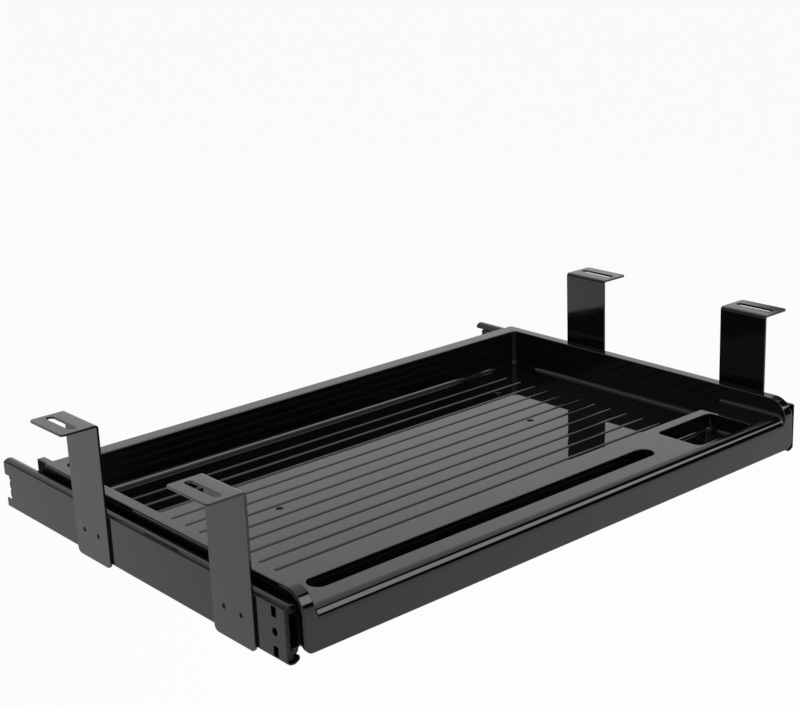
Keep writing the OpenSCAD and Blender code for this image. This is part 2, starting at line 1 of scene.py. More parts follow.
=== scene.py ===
import json
import math

import bpy
from mathutils import Matrix, Vector

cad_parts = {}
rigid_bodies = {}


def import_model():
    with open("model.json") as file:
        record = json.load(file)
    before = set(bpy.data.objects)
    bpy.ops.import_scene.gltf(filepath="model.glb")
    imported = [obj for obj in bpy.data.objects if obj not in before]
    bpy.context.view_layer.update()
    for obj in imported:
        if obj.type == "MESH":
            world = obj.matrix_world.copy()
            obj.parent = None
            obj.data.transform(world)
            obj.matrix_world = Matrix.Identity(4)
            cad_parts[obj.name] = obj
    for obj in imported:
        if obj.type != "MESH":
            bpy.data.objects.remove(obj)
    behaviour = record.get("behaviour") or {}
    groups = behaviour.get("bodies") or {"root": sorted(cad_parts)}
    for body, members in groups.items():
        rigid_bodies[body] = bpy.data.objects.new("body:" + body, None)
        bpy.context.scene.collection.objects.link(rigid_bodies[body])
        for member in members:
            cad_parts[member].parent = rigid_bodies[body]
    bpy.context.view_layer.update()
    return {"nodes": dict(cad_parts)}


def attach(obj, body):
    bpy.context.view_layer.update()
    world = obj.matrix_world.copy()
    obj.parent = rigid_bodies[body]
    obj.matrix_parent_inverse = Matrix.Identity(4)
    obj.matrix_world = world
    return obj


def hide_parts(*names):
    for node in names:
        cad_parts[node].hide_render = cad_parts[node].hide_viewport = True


for leftover in list(bpy.data.objects):
    bpy.data.objects.remove(leftover)

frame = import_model()

MM = 0.001

# Brackets, in millimetres, for the front right one with its middle at x = 0
BRACKET_HALF_L = 25
BRACKET_H = 120
BRACKET_T = 2
BEND_R = 3
FLANGE_END_Y = 317
SLOT_Y = 303
SLOT_L = 40
SLOT_W = 6.5
FOOT_CORNER_R = 5
FLANGE_CORNER_R = 3
SHEET_EDGE_R = 0.3
SCREW_X = 10.5
SCREW_R = 2.05
DRILL_L = 6
BRACKET_X = 96.5

# Slides
SLIDE_FACE_Y = 285
SLIDE_FRONT_X = 155.5
SLIDE_REAR_X = -244.5
SLIDE_Z = -96.2
SLIDE_H = 45
RAIL_T = 1.2
RAIL_EDGE_R = 0.15
OUTER_DEPTH = 11
RACE_R = 7
RACE_Y = 279.5
RACE_RISE = 15.5
LIP_RISE = 17.4
WEB_RISE = 19.63
FRONT_HOLE_X = 143.5
FRONT_HOLE_R = 3
WINDOW_L = 5.5
WINDOW_H = 8
WINDOW_RISE = 15
WINDOW_CORNER_R = 1
NOTCH_L = 10
NOTCH_TOP = 9
NOTCH_BOTTOM = -12.5
BUFFER_END_X = 152.5
BUFFER_CAP_T = 1.2
BUFFER_LIP_START = 13.2
BUFFER_LIP_END = 16.9
BUFFER_LIP_REACH = 12.1
BUFFER_LOBE_REACH = 7.8
BUFFER_LIP_R = 3

# Tray
FRONT_X = 162
BACK_X = -192
RIM_Z = -66.5
BOTTOM_Z = -112
FLOOR_Z = -101.5
FLOOR_T = 3
SHELF_Z = -81.2
RECESS_Z = -95.9
SKIRT_Y = 272.3
WELL_Y = 263
LIP_Y = 274
WELL_BACK_X = -176
SHELF_BACK_X = 93.5
RECESS_X = 128
NOSE_R = 18
BRIM_R = 1.5
INNER_EDGE_R = 0.9
MOUTH_EDGE_R = 0.6
SHELF_EDGE_R = 9.6
LOWER_EDGE_R = 7
REAR_CORNER_R = 4
FILLET_R = 4
SHELF_FILLET_R = 3
WELL_CORNER_R = 6
SKIRT_T = 3
WALL_T = 2.5
LUG_L = 14
LUG_W = 7
LUG_H = 24
LUG_EDGE_R = 1.2
TROUGH_LEFT_Y = -243
TROUGH_L = 364
TROUGH_W = 18
CUP_RIGHT_Y = 228.5
CUP_W = 71.5
CUP_L = 47
CUP_CORNER_R = 6
RECESS_FILLET_R = 3
GROOVE_COUNT = 12
GROOVE_START = 19
GROOVE_PITCH = 20
GROOVE_L = 444
GROOVE_W = 4.4
GROOVE_DEPTH = 1.3
GROOVE_SLOPE_W = 0.64 * GROOVE_W
GROOVE_FLAT_W = 0.3
GROOVE_POWER = 2.2
GROOVE_EDGE_R = 0.15
FLOOR_HOLE_R = 3
HOLE_RIM_R = 0.5
FLOOR_HOLES = ((-38.5, 146), (-117, 181))
TRAY_SCREW_INSETS = (28, 108, 255, 315)
POST_R = 4.5
SCREW_HOLE_R = 1.8
SCREW_HOLE_L = 8.3

# How far a cutter reaches past what it cuts
OVER = 1

# Studio, in metres
FLOOR_SIZE = 60
STUDIO_FLOOR_Z = -0.75
LAMP_W = 2.0
LAMP_L = 1.4
LAMP_DISTANCE = 2.2

# Light levels, where 1 is white
FLOOR_WHITE = 0.93
SEEN_FLOOR_SHARE = 0.92
MIRRORED_FLOOR_SHARE = 0.8
FILL_LEVEL = 0.45
SOFTBOX_LEVEL = 4.0
STRIP_LEVEL = 1.2
LEFT_LEVEL = 0.3
FAR_RIGHT_LEVEL = 0.1

# Patches of the surroundings that the gloss mirrors, each as its middle and its reach. The first number is
# an angle in degrees, from level at the back over the top to level at the front, and the second is the
# direction's part along Y
DARK_ABOVE = ((137, 0.95), (52.3, 0.579))
DARK_FAR_RIGHT = ((60, 0.86), (55, 0.11))
SOFTBOX_PATCH = ((134, 0.45), (19.5, 0.345))
# This one has the direction's parts along Y and Z
STRIP_PATCH = ((-0.72, 0.3), (0.1, 0.08))


def only(*pieces):
    """Selects these pieces and nothing else, and makes the first active."""
    bpy.ops.object.select_all(action="DESELECT")
    for piece in pieces:
        piece.select_set(True)
    bpy.context.view_layer.objects.active = pieces[0]


def set_in_place(piece):
    """Moves a piece's place, turn and size into its mesh."""
    only(piece)
    bpy.ops.object.transform_apply(location=True, rotation=True, scale=True)
    return piece


def block(name, low, high):
    """A box between two corners, in millimetres."""
    middle = [(a + b) / 2 * MM for a, b in zip(low, high)]
    bpy.ops.object.select_all(action="DESELECT")
    bpy.ops.mesh.primitive_cube_add(size=1, location=middle)
    piece = bpy.context.object
    piece.name = name
    piece.scale = [(b - a) * MM for a, b in zip(low, high)]
    return set_in_place(piece)


def rod(name, middle, radius, length, axis, sides=48):
    """A round bar along the axis named, in millimetres."""
    turn = {"x": (0, math.pi / 2, 0), "y": (math.pi / 2, 0, 0), "z": (0, 0, 0)}[axis]
    bpy.ops.object.select_all(action="DESELECT")
    bpy.ops.mesh.primitive_cylinder_add(
        vertices=sides,
        radius=radius * MM,
        depth=length * MM,
        location=[part * MM for part in middle],
        rotation=turn,
    )
    piece = bpy.context.object
    piece.name = name
    return set_in_place(piece)


def bar_along_y(name, outline, low_y, high_y):
    """A solid with the outline given in x and z, from one y to another, in millimetres."""
    count = len(outline)
    points = [(x * MM, y * MM, z * MM) for y in (low_y, high_y) for x, z in outline]
    sides = [(i, (i + 1) % count, count + (i + 1) % count, count + i) for i in range(count)]
    ends = [tuple(range(count)), tuple(range(count, 2 * count))]
    mesh = bpy.data.meshes.new(name)
    mesh.from_pydata(points, [], sides + ends)
    piece = bpy.data.objects.new(name, mesh)
    bpy.context.collection.objects.link(piece)
    face_outwards(piece)
    return piece


def pick_edges(piece, test):
    """Opens a piece in edit mode with the edges selected whose two ends pass the test."""
    only(piece)
    bpy.ops.object.mode_set(mode="EDIT")
    bpy.ops.mesh.select_mode(type="EDGE")
    bpy.ops.mesh.select_all(action="DESELECT")
    bpy.ops.object.mode_set(mode="OBJECT")
    points = piece.data.vertices
    for edge in piece.data.edges:
        first, second = (points[i].co / MM for i in edge.vertices)
        edge.select = bool(test(first, second))
    bpy.ops.object.mode_set(mode="EDIT")


def pick_faces(piece, test):
    """Opens a piece in edit mode with the faces selected whose middle and normal pass the test."""
    only(piece)
    bpy.ops.object.mode_set(mode="EDIT")
    bpy.ops.mesh.select_mode(type="FACE")
    bpy.ops.mesh.select_all(action="DESELECT")
    bpy.ops.object.mode_set(mode="OBJECT")
    for face in piece.data.polygons:
        face.select = bool(test(face.center / MM, face.normal))
    bpy.ops.object.mode_set(mode="EDIT")


def round_sharp_edges(piece, test, radius, segments, angle=35):
    """Rounds the edges that turn by more than the angle and whose two ends pass the test."""
    mesh = piece.data
    normals = {}
    for face in mesh.polygons:
        for key in face.edge_keys:
            normals.setdefault(key, []).append(face.normal.copy())
    limit = math.radians(angle)
    sharp = {key for key, pair in normals.items() if len(pair) == 2 and pair[0].angle(pair[1]) > limit}
    spots = {key: [mesh.vertices[i].co / MM for i in key] for key in sharp}
    chosen = {key for key, ends in spots.items() if test(*ends)}
    pick_edges(piece, lambda a, b: False)
    bpy.ops.object.mode_set(mode="OBJECT")
    for edge in mesh.edges:
        edge.select = tuple(sorted(edge.vertices)) in chosen
    bpy.ops.object.mode_set(mode="EDIT")
    bpy.ops.mesh.bevel(
        offset=radius * MM, offset_type="OFFSET", segments=segments, profile=0.5,
        affect="EDGES", clamp_overlap=False,
    )
    bpy.ops.object.mode_set(mode="OBJECT")


def split_faces(piece, at, normal):
    """Draws a line round the whole piece where a plane crosses it."""
    only(piece)
    bpy.ops.object.mode_set(mode="EDIT")
    bpy.ops.mesh.select_all(action="SELECT")
    bpy.ops.mesh.bisect(plane_co=[part * MM for part in at], plane_no=normal)
    bpy.ops.object.mode_set(mode="OBJECT")


def shade(piece, angle=35):
    """Smooth shading across the rounded edges that keeps the flats flat."""
    only(piece)
    bpy.ops.object.shade_smooth_by_angle(angle=math.radians(angle))
    step = piece.modifiers.new("flats", "WEIGHTED_NORMAL")
    step.keep_sharp = True
    step.weight = 100
    bpy.ops.object.modifier_apply(modifier=step.name)


def near(a, b, gap=0.05):
    return abs(a - b) < gap


def round_edges(piece, test, radius, segments):
    """Rounds the edges picked to a radius in millimetres."""
    pick_edges(piece, test)
    bpy.ops.mesh.bevel(
        offset=radius * MM, offset_type="OFFSET", segments=segments, profile=0.5,
        affect="EDGES", clamp_overlap=False,
    )
    bpy.ops.object.mode_set(mode="OBJECT")


def join(name, *pieces):
    only(*pieces)
    bpy.ops.object.join()
    pieces[0].name = name
    return pieces[0]


def combine(piece, other, operation):
    """Adds the other piece to this one or cuts it away, and removes the other."""
    step = piece.modifiers.new("combine", "BOOLEAN")
    step.operation = operation
    step.solver = "EXACT"
    step.object = other
    only(piece)
    bpy.ops.object.modifier_apply(modifier=step.name)
    bpy.data.objects.remove(other)


def cut(piece, *cutters):
    for cutter in cutters:
        combine(piece, cutter, "DIFFERENCE")


def merge_close(piece, gap=0.01):
    only(piece)
    bpy.ops.object.mode_set(mode="EDIT")
    bpy.ops.mesh.select_all(action="SELECT")
    bpy.ops.mesh.remove_doubles(threshold=gap * MM)
    bpy.ops.mesh.dissolve_limited(angle_limit=math.radians(0.3))
    bpy.ops.object.mode_set(mode="OBJECT")


def round_ends(piece, half_width, segments):
    """Makes half circles of the ends of an upright block."""
    round_edges(piece, lambda a, b: near(a.x, b.x) and near(a.y, b.y), half_width - 0.01, segments)
    merge_close(piece, 0.05)


def face_outwards(piece):
    only(piece)
    bpy.ops.object.mode_set(mode="EDIT")
    bpy.ops.mesh.select_all(action="SELECT")
    bpy.ops.mesh.normals_make_consistent(inside=False)
    bpy.ops.object.mode_set(mode="OBJECT")


def soften(piece, width, segments=2, angle=30):
    """Gives every sharp edge a small radius, and smooth shading that keeps the flats flat."""
    only(piece)
    bpy.ops.object.shade_smooth()
    step = piece.modifiers.new("soft edges", "BEVEL")
    step.width = width * MM
    step.segments = segments
    step.limit_method = "ANGLE"
    step.angle_limit = math.radians(angle)
    step.use_clamp_overlap = False
    step.harden_normals = True
    step.miter_outer = "MITER_ARC"
    bpy.ops.object.modifier_apply(modifier=step.name)


def round_bar_corner(piece, corner, radius, segments):
    """Rounds the one edge of a block whose two ends match the corner, where None matches any value."""
    def on_corner(point):
        return all(value is None or near(point[i], value) for i, value in enumerate(corner))
    round_edges(piece, lambda a, b: on_corner(a) and on_corner(b), radius, segments)


def corner_bar(name, low, high, corner, radius, axis):
    """What is cut away to round a long corner: a square bar less a round one."""
    bar = block(name, low, high)
    middle = [(a + b) / 2 for a, b in zip(low, high)]
    along = "xyz".index(axis)
    for part, value in enumerate(corner):
        if value is not None:
            middle[part] = value
    core = rod("core", middle, radius, high[along] - low[along] + 2 * OVER, axis, sides=96)
    cut(bar, core)
    return bar


def copy_of(piece, name, move_x=0, mirror_y=False):
    """A copy with its own mesh, moved along X or taken to the left side."""
    twin = piece.copy()
    twin.data = piece.data.copy()
    twin.name = name
    bpy.context.collection.objects.link(twin)
    twin.location.x = move_x * MM
    if mirror_y:
        twin.scale.y = -1
    set_in_place(twin)
    if mirror_y:
        face_outwards(twin)
    return twin


def place(piece, body, slot, material, *nodes):
    """Gives a finished piece its finish and its body, and hides the nodes that it stands for."""
    piece.data.materials.clear()
    piece.data.materials.append(material)
    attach(piece, body)
    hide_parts(*nodes)


def new_finish(name, colour, roughness, metallic=0.0, ior=1.5):
    material = bpy.data.materials.new(name)
    material.use_nodes = True
    shader = material.node_tree.nodes["Principled BSDF"]
    shader.inputs["Base Color"].default_value = (*colour, 1)
    shader.inputs["Roughness"].default_value = roughness
    shader.inputs["Metallic"].default_value = metallic
    shader.inputs["IOR"].default_value = ior
    return material, shader


def grain(material, size, stretch=(1, 1, 1), detail=3.0):
    """Noise on the piece's own coordinates, with grains of the size given in millimetres."""
    nodes = material.node_tree.nodes
    links = material.node_tree.links
    spot = nodes.new("ShaderNodeTexCoord")
    mapping = nodes.new("ShaderNodeMapping")
    mapping.inputs["Scale"].default_value = stretch
    noise = nodes.new("ShaderNodeTexNoise")
    noise.inputs["Scale"].default_value = 1000 / size
    noise.inputs["Detail"].default_value = detail
    links.new(spot.outputs["Object"], mapping.inputs["Vector"])
    links.new(mapping.outputs["Vector"], noise.inputs["Vector"])
    return noise


def vary_roughness(material, shader, noise, low, high):
    nodes = material.node_tree.nodes
    links = material.node_tree.links
    spread = nodes.new("ShaderNodeMapRange")
    spread.inputs["From Min"].default_value = 0.3
    spread.inputs["From Max"].default_value = 0.7
    spread.inputs["To Min"].default_value = low
    spread.inputs["To Max"].default_value = high
    links.new(noise.outputs["Fac"], spread.inputs["Value"])
    links.new(spread.outputs["Result"], shader.inputs["Roughness"])


def vary_colour(material, shader, noise, dark, light):
    nodes = material.node_tree.nodes
    links = material.node_tree.links
    ramp = nodes.new("ShaderNodeValToRGB")
    ramp.color_ramp.elements[0].position = 0.3
    ramp.color_ramp.elements[0].color = (*dark, 1)
    ramp.color_ramp.elements[1].position = 0.7
    ramp.color_ramp.elements[1].color = (*light, 1)
    links.new(noise.outputs["Fac"], ramp.inputs["Fac"])
    links.new(ramp.outputs["Color"], shader.inputs["Base Color"])


def raise_grain(material, shader, noise, height, strength=1.0):
    """Lets the noise lift the surface, by a height in millimetres."""
    nodes = material.node_tree.nodes
    links = material.node_tree.links
    bump = nodes.new("ShaderNodeBump")
    bump.inputs["Strength"].default_value = strength
    bump.inputs["Distance"].default_value = height * MM
    links.new(noise.outputs["Fac"], bump.inputs["Height"])
    links.new(bump.outputs["Normal"], shader.inputs["Normal"])


def tray_gloss():
    """Black moulded plastic, polished, with hardly any flow marks."""
    material, shader = new_finish("tray gloss", (0.002, 0.002, 0.0022), 0.03, ior=1.48)
    fine = grain(material, 3, detail=4)
    vary_roughness(material, shader, fine, 0.015, 0.045)
    flow = grain(material, 60, stretch=(1, 0.4, 1), detail=1)
    raise_grain(material, shader, flow, 0.02, strength=0.2)
    return material


def bracket_coat():
    """Black powder coat on sheet steel, glossy with a fine orange peel."""
    material, shader = new_finish("bracket coat", (0.003, 0.003, 0.0033), 0.08)
    peel = grain(material, 1.6, detail=1)
    raise_grain(material, shader, peel, 0.004, strength=0.35)
    cloud = grain(material, 14, detail=3)
    vary_roughness(material, shader, cloud, 0.05, 0.11)
    return material


def rail_coat():
    """Thin black electrocoat on rolled steel, with faint lines along the roll."""
    material, shader = new_finish("rail coat", (0.003, 0.003, 0.0033), 0.08, ior=1.37)
    lines = grain(material, 1.2, stretch=(0.03, 1, 1), detail=2)
    raise_grain(material, shader, lines, 0.003, strength=0.3)
    cloud = grain(material, 10, stretch=(0.3, 1, 1), detail=3)
    vary_roughness(material, shader, cloud, 0.04, 0.1)
    return material


def zinc_plate():
    material, shader = new_finish("zinc plate", (0.72, 0.73, 0.75), 0.25, metallic=1.0)
    spots = grain(material, 0.9, detail=3)
    vary_colour(material, shader, spots, (0.60, 0.61, 0.63), (0.80, 0.81, 0.82))
    fine = grain(material, 0.5, detail=2)
    vary_roughness(material, shader, fine, 0.18, 0.34)
    return material


def screw_hole_painted_shade():
    """Near-black finish on the bracket screws: painted shade, standing in for the shade inside the
    bracket's holes round the screw ends.
    """
    material, shader = new_finish("screw hole painted shade", (0.012, 0.012, 0.013), 0.3, ior=1.2)
    spots = grain(material, 0.9, detail=3)
    vary_colour(material, shader, spots, (0.002, 0.002, 0.002), (0.006, 0.006, 0.0065))
    vary_roughness(material, shader, spots, 0.22, 0.4)
    return material


def cage_sheet():
    material, shader = new_finish("cage sheet", (0.6, 0.6, 0.58), 0.35, metallic=1.0)
    spangle = grain(material, 4, detail=2)
    vary_colour(material, shader, spangle, (0.50, 0.50, 0.49), (0.68, 0.68, 0.66))
    vary_roughness(material, shader, spangle, 0.28, 0.44)
    return material


def ball_polish():
    material, shader = new_finish("ball polish", (0.8, 0.8, 0.8), 0.08, metallic=1.0)
    film = grain(material, 1.5, detail=2)
    vary_colour(material, shader, film, (0.70, 0.69, 0.66), (0.84, 0.84, 0.83))
    vary_roughness(material, shader, film, 0.05, 0.16)
    return material


def buffer_rubber():
    material, shader = new_finish("buffer rubber", (0.004, 0.004, 0.004), 0.45, ior=1.4)
    matt = grain(material, 0.7, detail=3)
    raise_grain(material, shader, matt, 0.01, strength=0.4)
    vary_roughness(material, shader, matt, 0.42, 0.6)
    return material


def lever_nylon():
    material, shader = new_finish("lever nylon", (0.012, 0.012, 0.012), 0.3)
    matt = grain(material, 0.9, detail=2)
    raise_grain(material, shader, matt, 0.006, strength=0.3)
    vary_roughness(material, shader, matt, 0.24, 0.38)
    return material


def calculate(tree, operation, *parts):
    """A maths node on numbers or sockets, and its result."""
    node = tree.nodes.new("ShaderNodeMath")
    node.operation = operation
    for socket, part in zip(node.inputs, parts):
        if isinstance(part, (int, float)):
            socket.default_value = part
        else:
            tree.links.new(part, socket)
    return node.outputs["Value"]


def fade(tree, value, low, high, at_low, at_high):
    """A soft step between two values."""
    node = tree.nodes.new("ShaderNodeMapRange")
    node.interpolation_type = "SMOOTHSTEP"
    node.inputs["From Min"].default_value = low
    node.inputs["From Max"].default_value = high
    node.inputs["To Min"].default_value = at_low
    node.inputs["To Max"].default_value = at_high
    tree.links.new(value, node.inputs["Value"])
    return node.outputs["Result"]


def oval(tree, first, second, middle, reach):
    """Below 1 inside an oval patch of directions, and above 1 outside it."""
    squares = []
    for value, centre, half in zip((first, second), middle, reach):
        away = calculate(tree, "DIVIDE", calculate(tree, "SUBTRACT", value, centre), half)
        squares.append(calculate(tree, "MULTIPLY", away, away))
    return calculate(tree, "ADD", *squares)


def make_bracket():
    """The front right bracket, with its middle at x = 0: an upright, a bend and a slotted flange."""
    end = BRACKET_HALF_L
    piece = block("bracket", (-end, SLIDE_FACE_Y, -BRACKET_H),
                  (end, SLIDE_FACE_Y + BRACKET_T, -BEND_R))
    pick_faces(piece, lambda middle, normal: normal.z > 0.9)
    bpy.ops.mesh.spin(
        steps=10, angle=math.pi / 2,
        center=(0, (SLIDE_FACE_Y + BEND_R) * MM, -BEND_R * MM), axis=(1, 0, 0),
    )
    flange_l = FLANGE_END_Y - SLIDE_FACE_Y - BEND_R
    bpy.ops.mesh.extrude_region_move(
        TRANSFORM_OT_translate={"value": (0, flange_l * MM, 0)})
    bpy.ops.object.mode_set(mode="OBJECT")
    merge_close(piece)
    face_outwards(piece)
    round_edges(piece, lambda a, b: near(a.z, -BRACKET_H) and near(b.z, -BRACKET_H)
                and near(a.x, b.x), FOOT_CORNER_R, 8)
    round_edges(piece, lambda a, b: near(a.y, FLANGE_END_Y) and near(b.y, FLANGE_END_Y)
                and near(a.x, b.x), FLANGE_CORNER_R, 6)
    slot = block("slot", (-SLOT_L / 2, SLOT_Y - SLOT_W / 2, -BRACKET_T - OVER),
                 (SLOT_L / 2, SLOT_Y + SLOT_W / 2, OVER))
    round_ends(slot, SLOT_W / 2, 10)
    cut(piece, slot)
    for x in (-SCREW_X, SCREW_X):
        cut(piece, rod("hole", (x, SLIDE_FACE_Y + BRACKET_T / 2, SLIDE_Z), SCREW_R, DRILL_L, "y"))
    merge_close(piece)
    soften(piece, SHEET_EDGE_R)
    return piece


def make_outer_rail():
    """The right outer rail: a web, two crowned flanges that form the ball races, and their lips."""
    middle_x = (SLIDE_FRONT_X + SLIDE_REAR_X) / 2
    length = SLIDE_FRONT_X - SLIDE_REAR_X
    inner_y = SLIDE_FACE_Y - OUTER_DEPTH
    piece = block("outer_rail", (SLIDE_REAR_X, SLIDE_FACE_Y - RAIL_T, SLIDE_Z - WEB_RISE),
                  (SLIDE_FRONT_X, SLIDE_FACE_Y, SLIDE_Z + WEB_RISE))
    for up in (-1, 1):
        race_z = SLIDE_Z + up * RACE_RISE
        race = rod("race", (middle_x, RACE_Y, race_z), RACE_R, length, "x", sides=128)
        cut(race, rod("bore", (middle_x, RACE_Y, race_z), RACE_R - RAIL_T, length + 2 * OVER,
                      "x", sides=128))
        low_z, high_z = sorted((SLIDE_Z + up * LIP_RISE, SLIDE_Z + up * (SLIDE_H / 2 + OVER)))
        combine(race, block("kept", (SLIDE_REAR_X - OVER, inner_y, low_z),
                            (SLIDE_FRONT_X + OVER, SLIDE_FACE_Y, high_z)), "INTERSECT")
        combine(piece, race, "UNION")
        low_z, high_z = sorted((SLIDE_Z + up * LIP_RISE, SLIDE_Z + up * WEB_RISE))
        combine(piece, block("lip", (SLIDE_REAR_X, inner_y, low_z),
                             (SLIDE_FRONT_X, inner_y + RAIL_T, high_z)), "UNION")
    cut(piece, block("notch", (SLIDE_REAR_X - OVER, SLIDE_FACE_Y - RAIL_T - OVER, SLIDE_Z + NOTCH_BOTTOM),
                     (SLIDE_REAR_X + NOTCH_L, SLIDE_FACE_Y + OVER, SLIDE_Z + NOTCH_TOP)))
    cut(piece, rod("hole", (FRONT_HOLE_X, SLIDE_FACE_Y, SLIDE_Z), FRONT_HOLE_R, DRILL_L, "y"))
    for up in (-1, 1):
        window_z = SLIDE_Z + up * WINDOW_RISE
        window = block(
            "window",
            (FRONT_HOLE_X - WINDOW_L / 2, SLIDE_FACE_Y - DRILL_L / 2, window_z - WINDOW_H / 2),
            (FRONT_HOLE_X + WINDOW_L / 2, SLIDE_FACE_Y + DRILL_L / 2, window_z + WINDOW_H / 2))
        round_edges(window, lambda a, b: near(a.x, b.x) and near(a.z, b.z), WINDOW_CORNER_R, 5)
        cut(piece, window)
    for spot in (-BRACKET_X, BRACKET_X):
        for x in (-SCREW_X, SCREW_X):
            cut(piece, rod("hole", (spot + x, SLIDE_FACE_Y, SLIDE_Z), SCREW_R, DRILL_L, "y"))
    merge_close(piece)
    soften(piece, RAIL_EDGE_R)
    return piece


def make_front_buffer():
    """The right middle rail's front buffer, with lips that close the rail's mouth at the front."""
    buffer = copy_of(frame["nodes"]["front_buffer_right"], "buffer_right")
    merge_close(buffer)
    lip_y = SLIDE_FACE_Y - BUFFER_LIP_REACH
    for up in (1, -1):
        inner_z, outer_z = SLIDE_Z + up * BUFFER_LIP_START, SLIDE_Z + up * BUFFER_LIP_END
        low_z, high_z = sorted((inner_z, outer_z))
        lip = block("lip", (BUFFER_END_X - BUFFER_CAP_T, lip_y, low_z),
                    (BUFFER_END_X, SLIDE_FACE_Y - BUFFER_LOBE_REACH, high_z))
        round_bar_corner(lip, (None, lip_y, outer_z), BUFFER_LIP_R, 8)
        combine(buffer, lip, "UNION")
    return buffer


def tray_outside():
    """The tray's outer shape: rounded nose, skirts under the rim's lip, rounded lower edges."""
    piece = block("tray_moulding", (BACK_X, -LIP_Y, BOTTOM_Z), (FRONT_X, LIP_Y, RIM_Z))
    round_bar_corner(piece, (FRONT_X, None, RIM_Z), NOSE_R, 24)
    for side in (-1, 1):
        round_bar_corner(piece, (BACK_X, side * LIP_Y, None), REAR_CORNER_R, 8)

    def on_brim(a, b):
        both_on_top = near(a.z, RIM_Z) and near(b.z, RIM_Z)
        along_side = near(abs(a.y), LIP_Y) and near(abs(b.y), LIP_Y) and near(a.y, b.y)
        round_the_back = max(a.x, b.x) < BACK_X + REAR_CORNER_R + 0.1
        down_the_front = along_side and min(a.x, b.x) > FRONT_X - NOSE_R - 0.1
        return (both_on_top and (along_side or round_the_back)) or down_the_front

    round_edges(piece, on_brim, BRIM_R, 5)
    lip_x = FRONT_X - SKIRT_T
    lip_z = RIM_Z - SKIRT_T
    for side in (-1, 1):
        inner, outer = sorted((side * SKIRT_Y, side * (LIP_Y + OVER)))
        pocket = block("pocket", (BACK_X - OVER, inner, BOTTOM_Z - OVER), (lip_x, outer, lip_z))
        round_bar_corner(pocket, (lip_x, None, lip_z), NOSE_R - SKIRT_T, 24)
        cut(piece, pocket)
        for start, stop, edge_y in ((BACK_X - OVER, lip_x, SKIRT_Y),
                                    (lip_x - 0.5, FRONT_X + OVER, LIP_Y)):
            core_y = side * (edge_y - LOWER_EDGE_R)
            low_y, high_y = sorted((core_y, side * (edge_y + OVER)))
            cut(piece, corner_bar(
                "lower edge", (start, low_y, BOTTOM_Z - OVER),
                (stop, high_y, BOTTOM_Z + LOWER_EDGE_R),
                (None, core_y, BOTTOM_Z + LOWER_EDGE_R), LOWER_EDGE_R, "x"))
    return piece


def tray_hollows(piece):
    """Cuts the well with its floor fillet, the space above the shelf, the pen trough and the cup."""
    well = block("well", (WELL_BACK_X, -WELL_Y, FLOOR_Z), (SHELF_BACK_X, WELL_Y, RIM_Z + 5))
    round_edges(well, lambda a, b: near(a.x, b.x) and near(a.y, b.y), WELL_CORNER_R, 10)
    round_edges(well, lambda a, b: near(a.z, FLOOR_Z) and near(b.z, FLOOR_Z), FILLET_R, 8)
    start_x = SHELF_BACK_X - WELL_CORNER_R - OVER
    ahead_x = FRONT_X + 8
    edge = [(FRONT_X - SHELF_EDGE_R * (1 - math.sin(turn)), SHELF_Z - SHELF_EDGE_R * (1 - math.cos(turn)))
            for turn in (math.radians(90 * i / 20) for i in range(21))]
    above_shelf = bar_along_y(
        "above_shelf",
        [(start_x, RIM_Z + 5), (start_x, SHELF_Z), *edge, (FRONT_X, BOTTOM_Z - 5),
         (ahead_x, BOTTOM_Z - 5), (ahead_x, RIM_Z + 5)],
        -WELL_Y, WELL_Y)

    def along_shelf(a, b):
        return (near(a.y, b.y) and near(abs(a.y), WELL_Y)
                and max(a.x, b.x) < FRONT_X + 0.1 and max(a.z, b.z) < SHELF_Z + 0.1)

    round_edges(above_shelf, along_shelf, SHELF_FILLET_R, 6)
    cut(piece, well, above_shelf)
    round_sharp_edges(piece, lambda a, b: max(abs(a.y), abs(b.y)) < WELL_Y + 0.1
                      and min(a.z, b.z) > SHELF_Z - 1 and min(a.x, b.x) > WELL_BACK_X - 0.1,
                      INNER_EDGE_R, 3)
    split_faces(piece, (RECESS_X, 0, 0), (1, 0, 0))
    half_w = TROUGH_W / 2
    trough = block("trough", (RECESS_X - half_w, TROUGH_LEFT_Y, RECESS_Z),
                   (RECESS_X + half_w, TROUGH_LEFT_Y + TROUGH_L, SHELF_Z + OVER))
    round_ends(trough, half_w, 14)
    round_edges(trough, lambda a, b: near(a.z, RECESS_Z) and near(b.z, RECESS_Z), RECESS_FILLET_R, 6)
    cup = block("cup", (RECESS_X - CUP_L / 2, CUP_RIGHT_Y - CUP_W, RECESS_Z),
                (RECESS_X + CUP_L / 2, CUP_RIGHT_Y, SHELF_Z + OVER))
    round_edges(cup, lambda a, b: near(a.x, b.x) and near(a.y, b.y), CUP_CORNER_R, 10)
    round_edges(cup, lambda a, b: near(a.z, RECESS_Z) and near(b.z, RECESS_Z), RECESS_FILLET_R, 6)
    cut(piece, trough, cup)
    round_sharp_edges(piece, lambda a, b: near(a.z, SHELF_Z) and near(b.z, SHELF_Z)
                      and min(a.x, b.x) > RECESS_X - CUP_L / 2 - 0.1
                      and max(a.x, b.x) < RECESS_X + CUP_L / 2 + 0.1, MOUTH_EDGE_R, 3)


